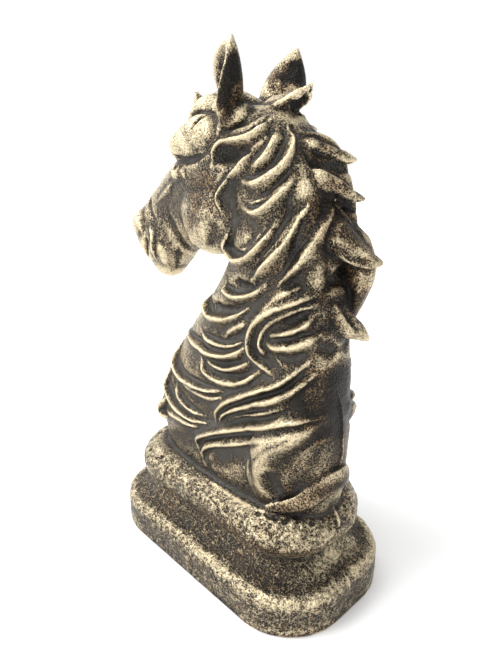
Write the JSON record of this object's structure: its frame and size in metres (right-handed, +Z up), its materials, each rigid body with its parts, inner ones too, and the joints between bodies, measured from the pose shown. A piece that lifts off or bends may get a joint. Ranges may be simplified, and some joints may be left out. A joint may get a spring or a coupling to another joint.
{
  "type": "horse head bust",
  "caption": "Cast horse head bust: arched neck with flowing carved mane and pricked ears, rising from a round-edged roll on a low plinth with rounded ends.",
  "frame": {"origin": "centre of the plinth's flat underside", "axes": "+Z up; the horse looks along -X and its left side faces -Y; the XZ plane is the mould's parting plane"},
  "size_m": [0.1553, 0.084, 0.2497],
  "materials": {
    "bronzed_iron": "rough sand-cast grain, dark brown patina with pale gold rubbed over the raised edges"
  },
  "bodies": {
    "root": {"horse_head_casting": "bronzed_iron"}
  },
  "joints": []
}
